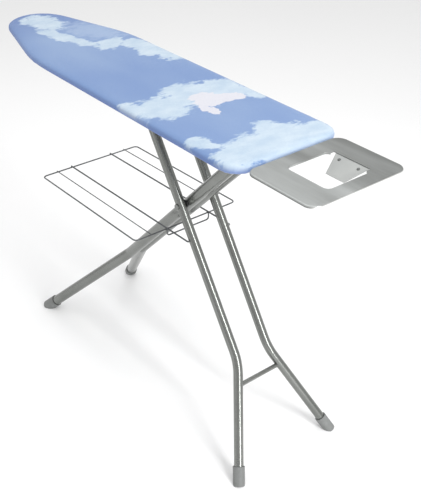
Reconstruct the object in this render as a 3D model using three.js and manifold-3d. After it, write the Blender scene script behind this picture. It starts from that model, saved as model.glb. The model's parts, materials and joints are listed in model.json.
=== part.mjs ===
// Folding ironing board: a padded board on two crossing pairs of tube legs, an iron rest at its tail
// end and a wire rack between the legs. Millimetres, +Z up, +X towards the tail, the nose at -X.
import * as THREE from "three";
import { mergeVertices } from "three/addons/utils/BufferGeometryUtils.js";
import Module from "manifold-3d";

const wasm = await Module();
wasm.setup();

// ---- overall sizes
const BOARD_LENGTH = 1220;
const BOARD_WIDTH = 332;
const BOARD_HEIGHT = 900;
const GAP = 0.3; // between pieces that touch
const RUN = 0.3; // radial clearance of a turning joint

// ---- board outline
const NOSE_RADIUS = 98;
const TAPER = THREE.MathUtils.degToRad(15);
const SHOULDER_RADIUS = 520;
const TAIL_CORNER = 55;

// ---- cover, pad and deck
const COVER_THICK = 1;
const SKIRT_DEPTH = 20;
const HEM_WIDTH = 32; // the drawn-in edge of the cover, kept clear underneath
const PAD_THICK = 6.5;
const DECK_SHEET = 1.2;
const DECK_RIM = 10.5;
const DECK_INSET = 3.2; // inside the edge of the pad

// ---- iron rest
const PLATE_LENGTH = 204.5;
const PLATE_HALF_WIDTH = 140;
const PLATE_SHEET = 1.5;
const PLATE_RIM = 5.5;
const PLATE_CORNER = 27;
const PLATE_DROP = 4.5; // below the top of the board
const PLATE_SPACE = 2.5; // between the board and the plate
const OPENING_LENGTH = 124;
const OPENING_HALF_WIDTH = 62;
const OPENING_EDGE = 38; // from the free edge of the plate
const OPENING_CORNER = 14;
const LIP = 3;
const TONGUE_WIDTH = 44;
const TONGUE_DEPTH = 8;
const TAB_TOP = 98;
const TAB_FOOT = 54;
const TAB_FALL = 25;
const TAB_REACH = 52;
const RIVET_RADIUS = 4;
const SUPPORT_RADIUS = 4;
const SUPPORT_OFFSET = 98;
const CLIP_SHEET = 1.2;
const CLIP_FOOT = 11;
const CLIP_WIDTH = 16;
const CLIP_FROM_TAIL = 90;

// ---- legs
const LEG_A_RADIUS = 12.7;
const LEG_B_RADIUS = 15.9;
const TUBE_WALL = 1.2;
const LEG_A_ANGLE = THREE.MathUtils.degToRad(57.1);
const LEG_B_ANGLE = THREE.MathUtils.degToRad(45.5);
const LEG_A_FOOT_ANGLE = THREE.MathUtils.degToRad(60.4);
const HINGE_DROP = 38; // fold hinge below the top of the board
const HINGE_FROM_TAIL = 111.5;
const CROSSING_REACH = 331.6; // fold hinge to the crossing, along leg B
const LEG_A_BEND = 440; // crossing to the bend, along leg A
const LEG_B_BEND = 768.6; // fold hinge to the bend, along leg B
const LEG_B_HALF_GAP = 21.5;
const WASHER_THICK = 1.3;
const FOOT_HALF_TRACK = 165;
const LEG_A_BEND_RADIUS = 170;
const LEG_B_BEND_RADIUS = 65;
const PIN_RADIUS = 5;
const HEAD_RADIUS = 8;
const HEAD_HEIGHT = 3;
const LEG_A_HEAD = 10; // tube beyond the top bar
const LEG_B_HEAD = 16; // tube beyond the fold hinge
const PLUG = 3;
const CROSSBAR_RADIUS = 6;
const CROSSBAR_BELOW_BEND = 57;
const SLEEVE_LENGTH = 46;
const SLEEVE_WALL = 3.3;
const SLEEVE_PAST = 5; // beyond the point where the tube's axis meets the floor
const SOLE = 5.5;

// ---- guide rails
const RAIL_SHEET = 1.5;
const RAIL_TRAVEL = 226;
const RAIL_END = 30;
const GLIDE_RADIUS = 7.5;
const GLIDE_LENGTH = 8;
const RAIL_RISE = 7; // room above the glide, for the arc of the fold

// ---- rack
const RACK_PIN_REACH = 94.2; // crossing to the rack pins, along leg A
const RACK_SLOPE = THREE.MathUtils.degToRad(1.8);
const RACK_TAIL = 97;
const RACK_LENGTH = 493;
const RACK_HALF_WIDTH = 168;
const RACK_PITCH = 50;
const HEAVY_WIRE = 2.25;
const FRAME_WIRE = 2;
const THIN_WIRE = 1.5;
const STOP_DEPTH = 22;

// ---- release lever
const LEVER_RADIUS = 3;
const LEVER_AHEAD = 60.4; // from the top bar
const LEVER_RISE = 4;
const GRIP_CLEAR = 4; // between the grip and the cover's drawn-in edge
const HANGER_FROM_GRIP = 42;
const GRIP_LENGTH = 62;
const GRIP_RADIUS = 7;

// ---- places that follow from the sizes
const span = BOARD_LENGTH + PLATE_SPACE + PLATE_LENGTH;
const noseX = -span / 2;
const tailX = noseX + BOARD_LENGTH;
const plateX0 = tailX + PLATE_SPACE;
const plateX1 = plateX0 + PLATE_LENGTH;
const boardHalf = BOARD_WIDTH / 2;
const leverHand = boardHalf - HEM_WIDTH - GRIP_RADIUS - GRIP_CLEAR;
const plateTop = BOARD_HEIGHT - PLATE_DROP;
const padTop = BOARD_HEIGHT - COVER_THICK - GAP;
const deckTop = padTop - PAD_THICK - GAP;
const deckUnder = deckTop - DECK_SHEET;
const hingeZ = BOARD_HEIGHT - HINGE_DROP;
const hinge = new THREE.Vector3(tailX - HINGE_FROM_TAIL, 0, hingeZ);
const crossing = new THREE.Vector3(
  hinge.x - CROSSING_REACH * Math.cos(LEG_B_ANGLE),
  0,
  hingeZ - CROSSING_REACH * Math.sin(LEG_B_ANGLE),
);
const topBarReach = (hingeZ - crossing.z) / Math.sin(LEG_A_ANGLE);
const topBar = new THREE.Vector3(crossing.x - topBarReach * Math.cos(LEG_A_ANGLE), 0, hingeZ);
const legAHalfGap = LEG_B_HALF_GAP + LEG_B_RADIUS + WASHER_THICK + 2 * GAP + LEG_A_RADIUS;
const legAOuter = legAHalfGap + LEG_A_RADIUS;
const rackPin = new THREE.Vector3(
  crossing.x + RACK_PIN_REACH * Math.cos(LEG_A_ANGLE),
  0,
  crossing.z - RACK_PIN_REACH * Math.sin(LEG_A_ANGLE),
);

// ---- finishes
const finishes = {
  cloth: { color: 0x8fa8d8, roughness: 0.95, metalness: 0 },
  felt: { color: 0xe8e6df, roughness: 1, metalness: 0 },
  silver: { color: 0x9b9d9c, roughness: 0.38, metalness: 0.6 },
  plate: { color: 0xa3a49f, roughness: 0.42, metalness: 0.7 },
  zinc: { color: 0xb9babb, roughness: 0.35, metalness: 0.9 },
  wire: { color: 0x85878a, roughness: 0.4, metalness: 0.7 },
  plastic: { color: 0x7d7f80, roughness: 0.6, metalness: 0 },
  black: { color: 0x2b2c2e, roughness: 0.6, metalness: 0 },
};

function mesh(name, geometry, finish) {
  const made = new THREE.Mesh(geometry, new THREE.MeshStandardMaterial(finishes[finish]));
  made.name = name;
  return made;
}

// ---- solids: closed geometry to a solid and back, with cuts and joins between
function solid(geometry) {
  const bare = geometry.clone();
  bare.deleteAttribute("normal");
  bare.deleteAttribute("uv");
  const merged = mergeVertices(bare, 1e-3);
  return new wasm.Manifold(
    new wasm.Mesh({
      numProp: 3,
      vertProperties: new Float32Array(merged.attributes.position.array),
      triVerts: new Uint32Array(merged.index.array),
    }),
  );
}

function geometryOf(body) {
  const m = body.getMesh();
  const made = new THREE.BufferGeometry();
  const points = new Float32Array(m.numVert * 3);
  for (let i = 0; i < m.numVert; i++) {
    points.set(m.vertProperties.subarray(i * m.numProp, i * m.numProp + 3), i * 3);
  }
  made.setAttribute("position", new THREE.BufferAttribute(points, 3));
  made.setIndex(new THREE.BufferAttribute(new Uint32Array(m.triVerts), 1));
  return made;
}

const cut = (body, ...tools) => tools.reduce((left, tool) => left.subtract(solid(tool)), body);
const join = (...pieces) => pieces.map(solid).reduce((sum, piece) => sum.add(piece));

// A box from its lowest to its highest corner.
function block(x0, y0, z0, x1, y1, z1) {
  const made = new THREE.BoxGeometry(x1 - x0, y1 - y0, z1 - z0);
  return made.translate((x0 + x1) / 2, (y0 + y1) / 2, (z0 + z1) / 2);
}

// A round bar along Y through (x, z).
function barY(x, z, y0, y1, radius, sides = 20) {
  return new THREE.CylinderGeometry(radius, radius, y1 - y0, sides).translate(x, (y0 + y1) / 2, z);
}

// A ring along Y, for bushes and washers.
function ringY(x, z, y0, y1, inner, outer, sides = 20) {
  const half = (y1 - y0) / 2;
  const profile = [
    [inner, -half],
    [outer, -half],
    [outer, half],
    [inner, half],
    [inner, -half],
  ].map(([r, h]) => new THREE.Vector2(r, h));
  return new THREE.LatheGeometry(profile, sides).translate(x, (y0 + y1) / 2, z);
}

// A path through exact points, so that a swept section stands at each of them.
class Route extends THREE.Curve {
  constructor(points) {
    super();
    this.points = points;
  }
  getPoint(t) {
    const last = this.points.length - 1;
    const at = Math.min(t * last, last - 1e-9);
    const i = Math.floor(at);
    return this.points[i].clone().lerp(this.points[i + 1], at - i);
  }
  getPointAt(u) {
    return this.getPoint(u);
  }
  getSpacedPoints(count) {
    return Array.from({ length: count + 1 }, (_, i) => this.getPoint(i / count));
  }
  getTangentAt(u) {
    const last = this.points.length - 1;
    const i = Math.round(u * last);
    const before = this.points[Math.max(i - 1, 0)];
    const after = this.points[Math.min(i + 1, last)];
    return after.clone().sub(before).normalize();
  }
}

// Corner points with each inner corner rounded by an arc.
function rounded(corners, radius, steps) {
  const points = [corners[0].clone()];
  for (let i = 1; i < corners.length - 1; i++) {
    const corner = corners[i];
    const back = corners[i - 1].clone().sub(corner).normalize();
    const on = corners[i + 1].clone().sub(corner).normalize();
    const half = back.angleTo(on) / 2;
    const reach = radius / Math.tan(half);
    const middle = back.clone().add(on).normalize();
    const centre = corner.clone().addScaledVector(middle, radius / Math.sin(half));
    const from = corner.clone().addScaledVector(back, reach).sub(centre);
    const to = corner.clone().addScaledVector(on, reach).sub(centre);
    const sweep = from.angleTo(to);
    for (let k = 0; k <= steps; k++) {
      const a = (sweep * k) / steps;
      points.push(
        centre
          .clone()
          .addScaledVector(from, Math.sin(sweep - a) / Math.sin(sweep))
          .addScaledVector(to, Math.sin(a) / Math.sin(sweep)),
      );
    }
  }
  points.push(corners[corners.length - 1].clone());
  return points;
}

function sweep(points, radius, inner = 0, sides = 16) {
  const section = new THREE.Shape();
  section.absarc(0, 0, radius, 0, 2 * Math.PI, false);
  if (inner > 0) {
    const hole = new THREE.Path();
    hole.absarc(0, 0, inner, 0, 2 * Math.PI, true);
    section.holes.push(hole);
  }
  return new THREE.ExtrudeGeometry(section, {
    steps: points.length - 1,
    curveSegments: sides / 2,
    bevelEnabled: false,
    extrudePath: new Route(points),
  });
}

const v3 = (x, y, z) => new THREE.Vector3(x, y, z);

// ---- board outline, drawn a given distance inside the true edge
function boardOutline(inset) {
  const noseC = new THREE.Vector2(noseX + NOSE_RADIUS, 0);
  // Where the tapered edge meets the straight side, and the shoulder arc that blends them.
  const taperReach = (boardHalf - NOSE_RADIUS * Math.cos(TAPER)) / Math.tan(TAPER);
  const meetX = noseC.x - NOSE_RADIUS * Math.sin(TAPER) + taperReach;
  const shoulderC = new THREE.Vector2(
    meetX + SHOULDER_RADIUS * Math.tan(TAPER / 2),
    boardHalf - SHOULDER_RADIUS,
  );
  const half = [];
  const arc = (c, r, from, to, steps) => {
    for (let i = 0; i <= steps; i++) {
      const a = from + ((to - from) * i) / steps;
      half.push(new THREE.Vector2(c.x + r * Math.cos(a), c.y + r * Math.sin(a)));
    }
  };
  const quarter = Math.PI / 2;
  const tailC = new THREE.Vector2(tailX - TAIL_CORNER, boardHalf - TAIL_CORNER);
  arc(tailC, TAIL_CORNER - inset, 0, quarter, 6);
  arc(shoulderC, SHOULDER_RADIUS - inset, quarter, quarter + TAPER, 5);
  arc(noseC, NOSE_RADIUS - inset, quarter + TAPER, 2 * quarter, 9);
  const mirrored = half
    .slice(0, -1)
    .reverse()
    .map((p) => new THREE.Vector2(p.x, -p.y));
  return new THREE.Shape([...half, ...mirrored]);
}

function slab(shape, z0, z1) {
  const made = new THREE.ExtrudeGeometry(shape, { depth: z1 - z0, bevelEnabled: false, curveSegments: 6 });
  return made.translate(0, 0, z0);
}

function roundedBox(x0, x1, y0, y1, radius) {
  const shape = new THREE.Shape();
  const quarter = Math.PI / 2;
  shape.absarc(x1 - radius, y1 - radius, radius, 0, quarter, false);
  shape.absarc(x0 + radius, y1 - radius, radius, quarter, 2 * quarter, false);
  shape.absarc(x0 + radius, y0 + radius, radius, 2 * quarter, 3 * quarter, false);
  shape.absarc(x1 - radius, y0 + radius, radius, 3 * quarter, 4 * quarter, false);
  return shape;
}

// A sheet pan open below: a top of the given thickness with a rim round it.
function pan(outline, top, sheet, depth) {
  const outer = solid(slab(outline(0), top - depth, top));
  return cut(outer, slab(outline(sheet), top - depth - 1, top - sheet));
}

const root = new THREE.Group();

// ---- board top
function boardTop() {
  const skin = COVER_THICK + GAP;
    const cover = pan(boardOutline, BOARD_HEIGHT, COVER_THICK, SKIRT_DEPTH);
  const pad = slab(boardOutline(skin), padTop - PAD_THICK, padTop);
  const deck = pan((inset) => boardOutline(skin + DECK_INSET + inset), deckTop, DECK_SHEET, DECK_RIM);
  return [
    mesh("cover", geometryOf(cover), "cloth"),
    mesh("pad", pad, "felt"),
    mesh("deck", geometryOf(deck), "zinc"),
  ];
}

// ---- iron rest: plate, sloping tab with its rivets, and the two rods that carry it
function ironRest() {
  const under = plateTop - PLATE_SHEET;
  const holeX1 = plateX1 - OPENING_EDGE;
  const holeX0 = holeX1 - OPENING_LENGTH;
  const middle = (holeX0 + holeX1) / 2;
  const outline = (inset) =>
    roundedBox(
      plateX0 + inset,
      plateX1 - inset,
      -PLATE_HALF_WIDTH + inset,
      PLATE_HALF_WIDTH - inset,
      PLATE_CORNER - inset,
    );
  const opening = (grow, z0, z1) =>
    slab(
      roundedBox(
        holeX0 - grow,
        holeX1 + grow,
        -OPENING_HALF_WIDTH - grow,
        OPENING_HALF_WIDTH + grow,
        OPENING_CORNER + grow,
      ),
      z0,
      z1,
    );
  const slot = TAB_TOP / 2 + 4;
  const slotY1 = OPENING_HALF_WIDTH + 12;
  const tongueY = -OPENING_HALF_WIDTH;
  const tongue = block(
    middle - TONGUE_WIDTH / 2,
    tongueY - PLATE_SHEET,
    under - TONGUE_DEPTH,
    middle + TONGUE_WIDTH / 2,
    tongueY + 0.01,
    under + 0.5,
  );
  const plate = cut(
    pan(outline, plateTop, PLATE_SHEET, PLATE_RIM).add(
      join(opening(PLATE_SHEET, under - LIP, plateTop - PLATE_SHEET / 2), tongue),
    ),
    opening(0, under - TONGUE_DEPTH - 1, plateTop + 1),
    block(middle - slot, OPENING_HALF_WIDTH - 8, under - LIP - 1, middle + slot, slotY1, plateTop + 1),
  );

  // The tab: a flange under the plate and a sloping trapezoid below it.
  const flangeY = slotY1 + 2;
  const flangeTop = under - GAP;
  const flange = block(
    middle - slot - 8,
    flangeY - 1,
    flangeTop - PLATE_SHEET,
    middle + slot + 8,
    flangeY + 14,
    flangeTop,
  );
  const face = new THREE.Shape([
    new THREE.Vector2(-TAB_TOP / 2, 0),
    new THREE.Vector2(TAB_TOP / 2, 0),
    new THREE.Vector2(TAB_FOOT / 2, -Math.hypot(TAB_REACH, TAB_FALL)),
    new THREE.Vector2(-TAB_FOOT / 2, -Math.hypot(TAB_REACH, TAB_FALL)),
  ]);
  const fall = Math.atan2(TAB_FALL, TAB_REACH);
  const slope = new THREE.ExtrudeGeometry(face, { depth: PLATE_SHEET, bevelEnabled: false });
  slope.rotateX(fall).translate(middle, flangeY, flangeTop - PLATE_SHEET);
  const tab = join(flange, slope);

  const rivets = [-1, 1].map((side) => {
    const along = 13;
    const dome = [
      [0, 0],
      [RIVET_RADIUS, 0],
      [RIVET_RADIUS * 0.7, 1.1],
      [0, 1.6],
    ].map(([r, h]) => new THREE.Vector2(r, h));
    const rivet = mesh("tab_rivet_" + (side < 0 ? 1 : 2), new THREE.LatheGeometry(dome, 16), "zinc");
    const lift = PLATE_SHEET + GAP;
    rivet.position.set(
      middle + side * 28,
      flangeY - along * Math.cos(fall) - lift * Math.sin(fall),
      flangeTop - PLATE_SHEET - along * Math.sin(fall) + lift * Math.cos(fall),
    );
    rivet.rotation.x = Math.PI / 2 + fall;
    return rivet;
  });

  const supports = [-1, 1].map((side) => {
    const y = side * SUPPORT_OFFSET;
    const low = BOARD_HEIGHT - SKIRT_DEPTH - SUPPORT_RADIUS - 2;
    const underDeck = deckUnder - SUPPORT_RADIUS - GAP;
    const underPlate = under - SUPPORT_RADIUS - GAP;
    const rod = [
      v3(tailX - CLIP_FROM_TAIL - 14, y, underDeck),
      v3(tailX - HEM_WIDTH - 24, y, underDeck),
      v3(tailX - HEM_WIDTH - 6, y, low),
      v3(plateX0 + 10, y, low),
      v3(plateX0 + 34, y, underPlate),
      v3(plateX1 - 40, y, underPlate),
    ];
    const bent = sweep(rounded(rod, 14, 4), SUPPORT_RADIUS, 0, 12);
    return mesh("rest_rod_" + (side < 0 ? "near" : "far"), bent, "zinc");
  });

  // A saddle clip holds each rod up against the deck.
  const clips = [-1, 1].map((side) => {
    const y = side * SUPPORT_OFFSET;
    const grip = SUPPORT_RADIUS + GAP;
    const foot = grip + CLIP_FOOT;
    const low = deckUnder - GAP - 2 * SUPPORT_RADIUS - GAP - CLIP_SHEET;
    const x0 = tailX - CLIP_FROM_TAIL;
    const saddle = cut(
      join(
        block(x0, y - foot, deckUnder - GAP - CLIP_SHEET, x0 + CLIP_WIDTH, y + foot, deckUnder - GAP),
        block(x0, y - grip - CLIP_SHEET, low, x0 + CLIP_WIDTH, y + grip + CLIP_SHEET, deckUnder - GAP),
      ),
      block(x0 - 1, y - grip, low + CLIP_SHEET, x0 + CLIP_WIDTH + 1, y + grip, deckUnder),
    );
    return mesh("rest_clip_" + (side < 0 ? "near" : "far"), geometryOf(saddle), "zinc");
  });
  return [
    mesh("iron_plate", geometryOf(plate), "plate"),
    mesh("iron_tab", geometryOf(tab), "zinc"),
    ...rivets,
    ...supports,
    ...clips,
  ];
}

// ---- guide rails for the top bar, hinge brackets and the fold hinge pin
const glideY0 = legAOuter + 2;
const glideY1 = glideY0 + GLIDE_LENGTH;

function underframe() {
  const x0 = topBar.x - RAIL_TRAVEL - RAIL_END;
  const x1 = topBar.x + RAIL_END;
  const floorZ = hingeZ - GLIDE_RADIUS - 1;
  const roofZ = hingeZ + GLIDE_RADIUS + RAIL_RISE;
  const webY = glideY1 + 1;
  const lipY = legAOuter + 1.5;
  const top = deckUnder - GAP;
  const section = [
    [lipY, floorZ - RAIL_SHEET],
    [webY + RAIL_SHEET, floorZ - RAIL_SHEET],
    [webY + RAIL_SHEET, top - RAIL_SHEET],
    [webY + 14, top - RAIL_SHEET],
    [webY + 14, top],
    [webY, top],
    [webY, roofZ + RAIL_SHEET],
    [lipY, roofZ + RAIL_SHEET],
    [lipY, roofZ],
    [webY, roofZ],
    [webY, floorZ],
    [lipY, floorZ],
  ];
  const pieces = [];
  for (const side of [-1, 1]) {
    const tag = side < 0 ? "near" : "far";
    const corners = section.map(([y, z]) => new THREE.Vector2(side * y, z));
    if (side < 0) corners.reverse();
    const rail = new THREE.ExtrudeGeometry(new THREE.Shape(corners), { depth: x1 - x0, bevelEnabled: false });
    rail.applyMatrix4(new THREE.Matrix4().makeBasis(v3(0, 1, 0), v3(0, 0, 1), v3(1, 0, 0)));
    pieces.push(mesh("guide_rail_" + tag, rail.translate(x0, 0, 0), "zinc"));

    const ear = LEG_B_HALF_GAP + LEG_B_RADIUS + 2.5;
    const inner = side < 0 ? -ear - 2.5 : ear;
    const flange = side < 0 ? -ear - 20 : ear;
    const bracket = cut(
      join(
        block(hinge.x - 20, inner, hingeZ - 13, hinge.x + 20, inner + 2.5, top),
        block(hinge.x - 20, flange, top - 2.5, hinge.x + 20, flange + 20, top),
      ),
      barY(hinge.x, hingeZ, inner - 2, inner + 5, PIN_RADIUS + GAP),
    );
    pieces.push(mesh("hinge_bracket_" + tag, geometryOf(bracket), "zinc"));

    const hangerY = leverHand - HANGER_FROM_GRIP;
    const hangerY0 = side < 0 ? -hangerY - 2 : hangerY;
    const leverX = topBar.x + LEVER_AHEAD;
    const leverZ = hingeZ + LEVER_RISE;
    const hanger = cut(
      join(
        block(leverX - 8, hangerY0, leverZ - 9, leverX + 8, hangerY0 + 2, top),
        block(leverX - 8, hangerY0 - 10, top - 2, leverX + 8, hangerY0 + 12, top),
      ),
      barY(leverX, leverZ, hangerY0 - 2, hangerY0 + 4, LEVER_RADIUS + RUN, 16),
    );
    pieces.push(mesh("lever_hanger_" + tag, geometryOf(hanger), "zinc"));
  }
  const reach = LEG_B_HALF_GAP + LEG_B_RADIUS + 5 + GAP;
  pieces.push(mesh("fold_hinge_pin", geometryOf(headedPin(hinge.x, hingeZ, reach)), "zinc"));
  return pieces;
}

// A pin along Y with a head on each end, the heads starting at the given half-length.
function headedPin(x, z, half) {
  return join(
    barY(x, z, -half - 0.5, half + 0.5, PIN_RADIUS),
    barY(x, z, half, half + HEAD_HEIGHT, HEAD_RADIUS),
    barY(x, z, -half - HEAD_HEIGHT, -half, HEAD_RADIUS),
  );
}

// ---- release lever: a cranked rod with a catch under the top bar, and its grip
function releaseLever() {
  const lever = new THREE.Group();
  lever.position.set(topBar.x + LEVER_AHEAD, 0, hingeZ + LEVER_RISE);
  const catchTop = -LEVER_RISE - PIN_RADIUS - 0.7;
  const rod = sweep(
    rounded(
      [
        v3(0, leverHand - HANGER_FROM_GRIP + 8, 0),
        v3(0, -leverHand, 0),
        v3(GRIP_LENGTH + 24, -leverHand, 0),
      ],
      12,
      4,
    ),
    LEVER_RADIUS,
    0,
    12,
  );
  const profile = new THREE.Shape([
    new THREE.Vector2(4, -5),
    new THREE.Vector2(4, 5),
    new THREE.Vector2(-5, 5),
    new THREE.Vector2(-LEVER_AHEAD + 18, catchTop + 1),
    new THREE.Vector2(-LEVER_AHEAD + 10, catchTop - 1),
    new THREE.Vector2(-LEVER_AHEAD - 9, catchTop),
    new THREE.Vector2(-LEVER_AHEAD - 9, catchTop - 5),
    new THREE.Vector2(-LEVER_AHEAD + 16, catchTop - 7),
  ].reverse());
  const finger = new THREE.ExtrudeGeometry(profile, { depth: 6, bevelEnabled: false });
  finger.rotateX(Math.PI / 2).translate(0, 3, 0);
  const body = join(rod, finger);
  lever.add(mesh("lever_rod", geometryOf(body), "zinc"));
  const gripProfile = [
    [LEVER_RADIUS + GAP, 0],
    [GRIP_RADIUS - 1, 0],
    [GRIP_RADIUS, 4],
    [GRIP_RADIUS, GRIP_LENGTH - 5],
    [GRIP_RADIUS - 2, GRIP_LENGTH],
    [LEVER_RADIUS + GAP, GRIP_LENGTH],
    [LEVER_RADIUS + GAP, 0],
  ].map(([r, h]) => new THREE.Vector2(r, h));
  const grip = mesh("lever_grip", new THREE.LatheGeometry(gripProfile, 16), "black");
  grip.position.set(20, -leverHand, 0);
  grip.rotation.z = -Math.PI / 2;
  lever.add(grip);
  return lever;
}

// ---- leg frames: local X runs down the leg, the floor is brought into the leg's own frame
function legFrame(origin, turn) {
  const frame = new THREE.Group();
  frame.position.copy(origin);
  frame.rotation.y = turn;
  frame.updateMatrix();
  return frame;
}

function belowLevel(frame, level) {
  const room = 3 * BOARD_HEIGHT;
  return block(-room, -room, -room, room, room, level).applyMatrix4(frame.matrix.clone().invert());
}

// A point on the floor in the leg's own frame.
function footPoint(frame, x, y) {
  return v3(x, y, 0).applyMatrix4(frame.matrix.clone().invert());
}

// The plastic sleeve on a tube's foot, cut level where it meets the floor.
function footSleeve(frame, bend, foot, radius) {
  const along = foot.clone().sub(bend).normalize();
  const rise = SLEEVE_LENGTH;
  const from = foot.clone().addScaledVector(along, SLEEVE_PAST);
  const mouth = foot.clone().addScaledVector(along, -rise);
  const past = foot.clone().addScaledVector(along, -rise - 5);
  const stopped = foot.clone().addScaledVector(along, SLEEVE_PAST - SOLE);
  const bore = solid(sweep([past, stopped], radius + GAP, 0, 20)).subtract(solid(belowLevel(frame, SOLE)));
  const sleeve = solid(sweep([mouth, from], radius + SLEEVE_WALL, 0, 20)).subtract(bore);
  return geometryOf(sleeve.subtract(solid(belowLevel(frame, 0))));
}

function plugCap(radius) {
  const profile = [
    [0, 0],
    [radius, 0],
    [radius, 1.2],
    [radius - 1.5, PLUG],
    [0, PLUG],
  ].map(([r, h]) => new THREE.Vector2(r, h));
  return new THREE.LatheGeometry(profile, 20);
}

// One tube of a leg frame with its foot sleeve and its top plug.
function legTube(frame, tag, side, spec) {
  const y = side * spec.halfGap;
  const bend = v3(spec.bend, y, 0);
  const foot = footPoint(frame, spec.footX, side * FOOT_HALF_TRACK);
  const along = foot.clone().sub(bend).normalize();
  const end = foot.clone().addScaledVector(along, SLEEVE_PAST - SOLE - GAP);
  const path = rounded([v3(-spec.head, y, 0), bend, end], spec.bendRadius, 6);
  const bore = spec.radius - TUBE_WALL;
  const holes = spec.holes.map(([x, z, radius, y0, y1]) => {
    const low = side < 0 ? -y1 : y0;
    const high = side < 0 ? -y0 : y1;
    return barY(x, z, low, high, radius, 16);
  });
  const tube = cut(solid(sweep(path, spec.radius, bore)), belowLevel(frame, SOLE + GAP), ...holes);
  frame.add(mesh(tag + "_tube", geometryOf(tube), "silver"));
  frame.add(mesh(tag + "_foot", footSleeve(frame, bend, foot, spec.radius), "plastic"));
  const plug = mesh(tag + "_plug", plugCap(spec.radius), "plastic");
  plug.position.set(-spec.head - GAP, y, 0);
  plug.rotation.z = Math.PI / 2;
  frame.add(plug);
}

const through = PIN_RADIUS + RUN;

function legB() {
  const frame = legFrame(hinge, Math.PI - LEG_B_ANGLE);
  const spec = {
    halfGap: LEG_B_HALF_GAP,
    radius: LEG_B_RADIUS,
    head: LEG_B_HEAD,
    bend: LEG_B_BEND,
    bendRadius: LEG_B_BEND_RADIUS,
    footX: hinge.x - hingeZ / Math.tan(LEG_B_ANGLE),
    holes: [
      [0, 0, through, 0, 2 * FOOT_HALF_TRACK],
      [CROSSING_REACH, 0, through, 0, 2 * FOOT_HALF_TRACK],
    ],
  };
  legTube(frame, "leg_b_near", -1, spec);
  legTube(frame, "leg_b_far", 1, spec);
  const half = LEG_B_HALF_GAP - LEG_B_RADIUS - GAP;
  frame.add(mesh("hinge_spacer", ringY(0, 0, -half, half, through, through + 4), "black"));
  frame.add(mesh("crossing_spacer", ringY(CROSSING_REACH, 0, -half, half, through, through + 4), "black"));
  for (const side of [-1, 1]) {
    const y = LEG_B_HALF_GAP + LEG_B_RADIUS + GAP;
    const low = side < 0 ? -y - WASHER_THICK : y;
    const washer = ringY(CROSSING_REACH, 0, low, low + WASHER_THICK, through, through + 6);
    frame.add(mesh("crossing_washer_" + (side < 0 ? "near" : "far"), washer, "black"));
  }
  frame.add(mesh("crossing_pin", geometryOf(headedPin(CROSSING_REACH, 0, legAOuter + GAP)), "zinc"));
  return frame;
}

function legA() {
  const frame = legFrame(crossing, LEG_A_ANGLE);
  const bendZ = crossing.z - LEG_A_BEND * Math.sin(LEG_A_ANGLE);
  const bendX = crossing.x + LEG_A_BEND * Math.cos(LEG_A_ANGLE);
  const pinHole = HEAVY_WIRE + RUN;
  const spec = {
    halfGap: legAHalfGap,
    radius: LEG_A_RADIUS,
    head: topBarReach + LEG_A_HEAD,
    bend: LEG_A_BEND,
    bendRadius: LEG_A_BEND_RADIUS,
    footX: bendX + bendZ / Math.tan(LEG_A_FOOT_ANGLE),
    holes: [
      [0, 0, through, 0, 2 * FOOT_HALF_TRACK],
      [-topBarReach, 0, PIN_RADIUS + GAP, 0, 2 * FOOT_HALF_TRACK],
      [RACK_PIN_REACH, 0, pinHole, legAHalfGap, 2 * FOOT_HALF_TRACK],
    ],
  };
  legTube(frame, "leg_a_near", -1, spec);
  legTube(frame, "leg_a_far", 1, spec);
  frame.add(mesh("top_bar", barY(-topBarReach, 0, -glideY1 + 1, glideY1 - 1, PIN_RADIUS), "zinc"));
  for (const side of [-1, 1]) {
    const low = side < 0 ? -glideY1 : glideY0;
    const glide = ringY(-topBarReach, 0, low, low + GLIDE_LENGTH, PIN_RADIUS + GAP, GLIDE_RADIUS);
    frame.add(mesh("glide_" + (side < 0 ? "near" : "far"), glide, "black"));
  }

  // The crossbar runs between the tubes just below their bends and stops against them.
  const barAt = LEG_A_BEND + CROSSBAR_BELOW_BEND;
  const shadow = [-1, 1].map((side) => {
    const foot = footPoint(frame, spec.footX, side * FOOT_HALF_TRACK);
    const y = side * legAHalfGap;
    return sweep(rounded([v3(0, y, 0), v3(LEG_A_BEND, y, 0), foot], LEG_A_BEND_RADIUS, 6), LEG_A_RADIUS + GAP);
  });
  const outer = FOOT_HALF_TRACK / 2;
  const along = footPoint(frame, spec.footX, FOOT_HALF_TRACK).sub(v3(LEG_A_BEND, legAHalfGap, 0)).normalize();
  const lift = (CROSSBAR_BELOW_BEND * along.z) / along.x;
  const pieces = cut(solid(barY(barAt, lift, -outer, outer, CROSSBAR_RADIUS, 16)), ...shadow).decompose();
  const middle = pieces.reduce((best, piece) => (piece.volume() > best.volume() ? piece : best));
  frame.add(mesh("leg_a_crossbar", geometryOf(middle), "silver"));
  return frame;
}

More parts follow.
